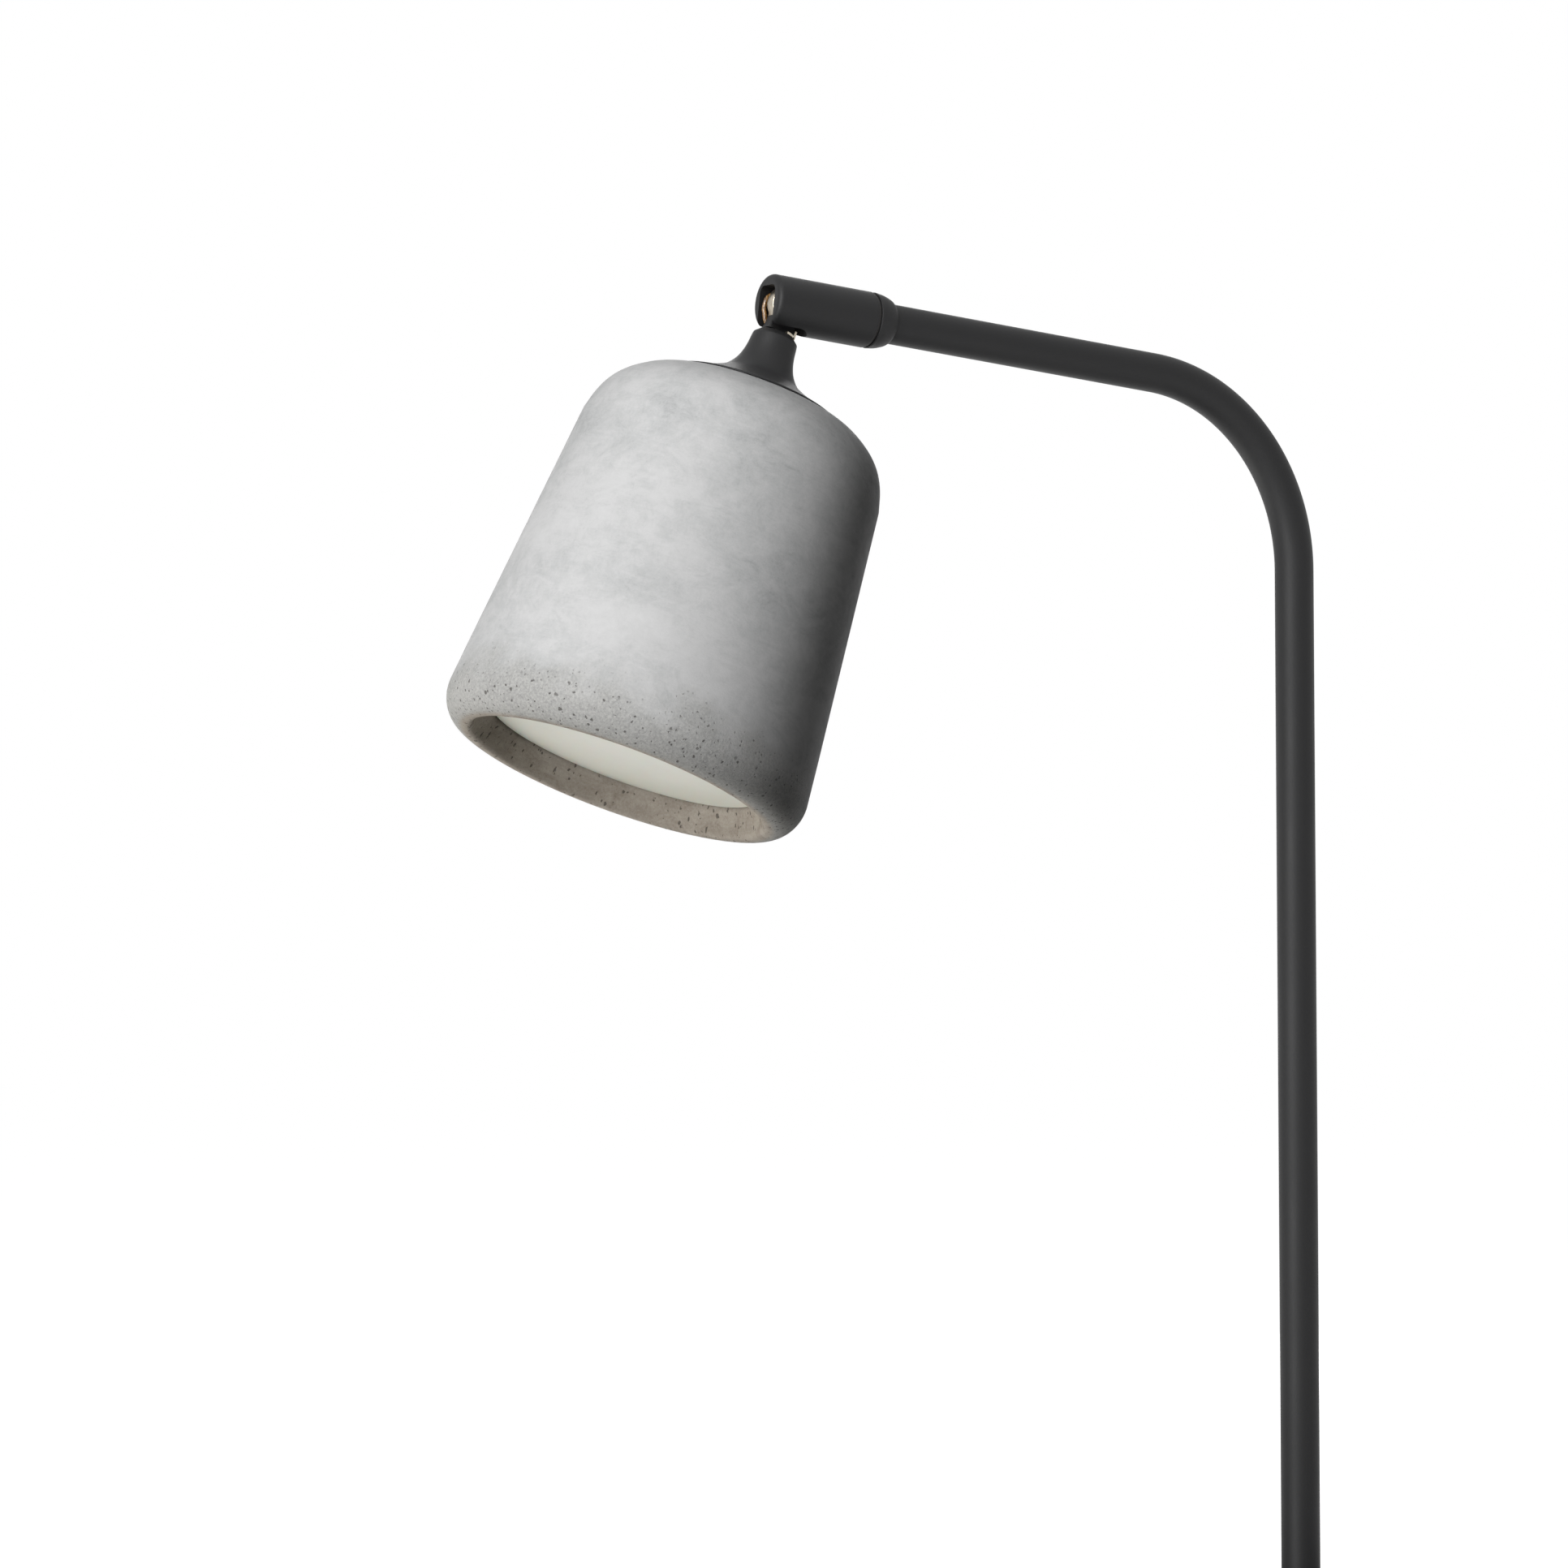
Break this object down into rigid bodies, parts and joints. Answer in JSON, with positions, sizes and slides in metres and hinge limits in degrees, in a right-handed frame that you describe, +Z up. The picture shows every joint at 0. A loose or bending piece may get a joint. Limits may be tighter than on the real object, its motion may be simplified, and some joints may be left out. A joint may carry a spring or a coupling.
{
  "type": "table lamp",
  "caption": "Table lamp with a round steel base, a bent tube arm, a slotted swivel knuckle and a tilting cast concrete shade with an opal diffuser.",
  "frame": {"origin": "centre of the base pad's underside, on the surface the lamp stands on", "axes": "+Z up along the post; the arm reaches towards -X; +Y is the hinge pin's direction"},
  "size_m": [0.3748, 0.2, 0.4802],
  "materials": {
    "black_powder_coat": "fine-textured matt powder coat",
    "nickel_plate": "satin nickel plate",
    "zinc_plated_steel": "zinc plate",
    "spring_steel": "blued spring steel",
    "cast_concrete": "cast grey concrete, clouded, pitted near the lip",
    "opal_acrylic": "opal acrylic, satin",
    "aluminium": "turned",
    "black_rubber": "moulded",
    "clear_gold_insulation": "clear amber lead insulation",
    "white_ceramic": "unglazed",
    "white_plastic": "moulded",
    "felt": "pressed felt",
    "vulcanised_fibre": "pressed fibre"
  },
  "bodies": {
    "stand": {"base_plate": "black_powder_coat", "base_pad": "felt", "post_washer": "zinc_plated_steel", "post_nut": "zinc_plated_steel", "post_nipple": "zinc_plated_steel", "post_insert": "zinc_plated_steel", "post_foot_collar": "black_powder_coat", "inlet_bush": "black_rubber", "cord_grip": "black_rubber", "arm_tube": "black_powder_coat", "arm_collar": "black_powder_coat", "seam_ring": "vulcanised_fibre", "swivel_nipple": "zinc_plated_steel", "swivel_insert": "zinc_plated_steel", "spring_washer": "spring_steel", "swivel_nut": "zinc_plated_steel", "stop_pin": "spring_steel", "lead_sleeve": "vulcanised_fibre", "inlet_lead": "clear_gold_insulation", "arm_core_a": "clear_gold_insulation", "arm_core_b": "clear_gold_insulation"},
    "knuckle": {"knuckle_body": "black_powder_coat", "hinge_screw": "nickel_plate", "hinge_spacer_near": "nickel_plate", "hinge_spacer_far": "nickel_plate", "hinge_core_a": "clear_gold_insulation", "hinge_core_b": "clear_gold_insulation"},
    "head": {"tongue": "nickel_plate", "stem_cap": "black_powder_coat", "cap_gasket": "black_rubber", "shade": "cast_concrete", "diffuser": "opal_acrylic", "carrier_ring": "aluminium", "clip_1": "spring_steel", "clip_2": "spring_steel", "clip_3": "spring_steel", "clamp_plate": "zinc_plated_steel", "clamp_nut": "zinc_plated_steel", "holder_bracket": "zinc_plated_steel", "lamp_holder": "white_ceramic", "lamp_body": "white_plastic", "lamp_lens": "opal_acrylic", "head_core_a": "clear_gold_insulation", "head_core_b": "clear_gold_insulation"}
  },
  "joints": [
    {"name": "knuckle_swivel", "type": "hinge", "parent": "stand", "child": "knuckle", "pos_m": [-0.11519, 0, 0.4657], "axis": [-0.9924, 0, 0.1227], "range_deg": [-160, 160]},
    {"name": "head_tilt", "type": "hinge", "parent": "knuckle", "child": "head", "pos_m": [-0.14704, 0, 0.46964], "axis": [0, 1, 0], "range_deg": [-20, 72], "deforming": ["hinge_core_a", "hinge_core_b"]}
  ]
}
